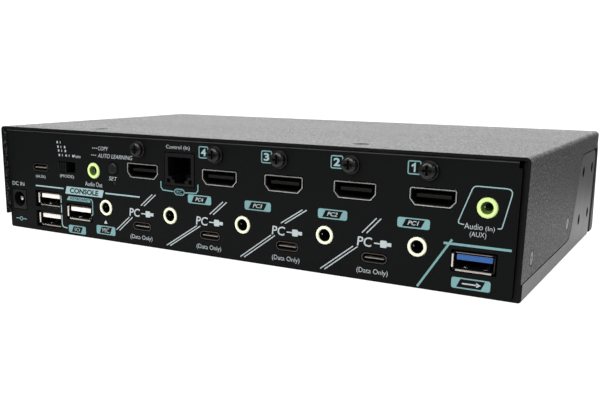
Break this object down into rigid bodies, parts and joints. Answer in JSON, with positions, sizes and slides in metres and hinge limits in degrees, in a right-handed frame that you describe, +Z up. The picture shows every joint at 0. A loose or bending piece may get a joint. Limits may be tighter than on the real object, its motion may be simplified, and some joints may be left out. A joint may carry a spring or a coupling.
{
  "type": "kvm switch",
  "caption": "Desktop KVM switch in a flat metal case: a panel of video, USB and audio ports on one side and select buttons on the other.",
  "frame": {"origin": "below the middle of the object, on the plane of its feet", "axes": "+X to the right when facing the ports, -Y out of the port panel, +Y out of the button front, +Z up"},
  "size_m": [0.22, 0.138, 0.046],
  "materials": {
    "powder_coat": "fine sand-texture powder coat, near black",
    "satin_black_metal": "satin black paint on steel sheet",
    "black_screw": "black zinc",
    "steel": "bright tin plate",
    "nickel": "warm nickel plate",
    "blue_socket": "blue insulator in a nickel shell",
    "lime_plastic": "lime moulded plastic",
    "cream_plastic": "pale cream moulded plastic",
    "rubber": "matt",
    "circuit_board": "green solder mask",
    "clear_plastic": "clear moulded plastic",
    "aluminium": "extruded, plain",
    "grey_plastic": "satin moulded plastic",
    "black_plastic": "fine satin moulded plastic"
  },
  "bodies": {
    "case": {"audio_jack_aux": "lime_plastic", "audio_jack_mic_1": "cream_plastic", "audio_jack_mic_2": "cream_plastic", "audio_jack_mic_3": "cream_plastic", "audio_jack_mic_4": "cream_plastic", "audio_jack_mic_console": "cream_plastic", "audio_jack_out": "lime_plastic", "base_chassis": "satin_black_metal", "button_board": "circuit_board", "buzzer": "black_plastic", "control_jack": "black_plastic", "cover_screw_left_1": "black_screw", "cover_screw_left_2": "black_screw", "cover_screw_right_1": "black_screw", "cover_screw_right_2": "black_screw", "cover_screw_top_1": "black_screw", "cover_screw_top_2": "black_screw", "dc_jack": "black_plastic", "edid_led": "clear_plastic", "edid_switch_body": "black_plastic", "front_bezel": "black_plastic", "hdmi_lock_screw_1": "black_screw", "hdmi_lock_screw_2": "black_screw", "hdmi_lock_screw_3": "black_screw", "hdmi_lock_screw_4": "black_screw", "hdmi_lock_screw_console": "black_screw", "hdmi_socket_1": "steel", "hdmi_socket_2": "steel", "hdmi_socket_3": "steel", "hdmi_socket_4": "steel", "hdmi_socket_console": "steel", "heat_sink": "aluminium", "light_pipe_strip": "clear_plastic", "main_board": "circuit_board", "mode_switch_body": "black_plastic", "ribbon_cable": "grey_plastic", "rubber_foot_1": "rubber", "rubber_foot_2": "rubber", "rubber_foot_3": "rubber", "rubber_foot_4": "rubber", "standoff_1": "steel", "standoff_2": "steel", "standoff_3": "steel", "standoff_4": "steel", "top_cover": "powder_coat", "upper_board": "circuit_board", "usb3_socket": "blue_socket", "usb_c_socket_1": "nickel", "usb_c_socket_2": "nickel", "usb_c_socket_3": "nickel", "usb_c_socket_4": "nickel", "usb_c_socket_aux": "nickel", "usb_socket_console_pair": "nickel", "usb_socket_keyboard": "nickel"},
    "mode_slider": {"mode_slider": "black_plastic"},
    "edid_button": {"edid_button": "black_plastic"},
    "select_button_1": {"select_button_1": "grey_plastic"},
    "select_button_2": {"select_button_2": "grey_plastic"},
    "select_button_3": {"select_button_3": "grey_plastic"},
    "select_button_4": {"select_button_4": "grey_plastic"}
  },
  "joints": [
    {"name": "mode_slide", "type": "slide", "parent": "case", "child": "mode_slider", "axis": [1, 0, 0], "range_m": [0, 0.0042]},
    {"name": "edid_press", "type": "slide", "parent": "case", "child": "edid_button", "axis": [0, 1, 0], "range_m": [0, 0.0005], "stiffness_N_per_m": 800},
    {"name": "select_press_1", "type": "slide", "parent": "case", "child": "select_button_1", "axis": [0, -0.9778, -0.2095], "range_m": [0, 0.0006], "stiffness_N_per_m": 800},
    {"name": "select_press_2", "type": "slide", "parent": "case", "child": "select_button_2", "axis": [0, -0.9778, -0.2095], "range_m": [0, 0.0006], "stiffness_N_per_m": 800},
    {"name": "select_press_3", "type": "slide", "parent": "case", "child": "select_button_3", "axis": [0, -0.9778, -0.2095], "range_m": [0, 0.0006], "stiffness_N_per_m": 800},
    {"name": "select_press_4", "type": "slide", "parent": "case", "child": "select_button_4", "axis": [0, -0.9778, -0.2095], "range_m": [0, 0.0006], "stiffness_N_per_m": 800}
  ]
}
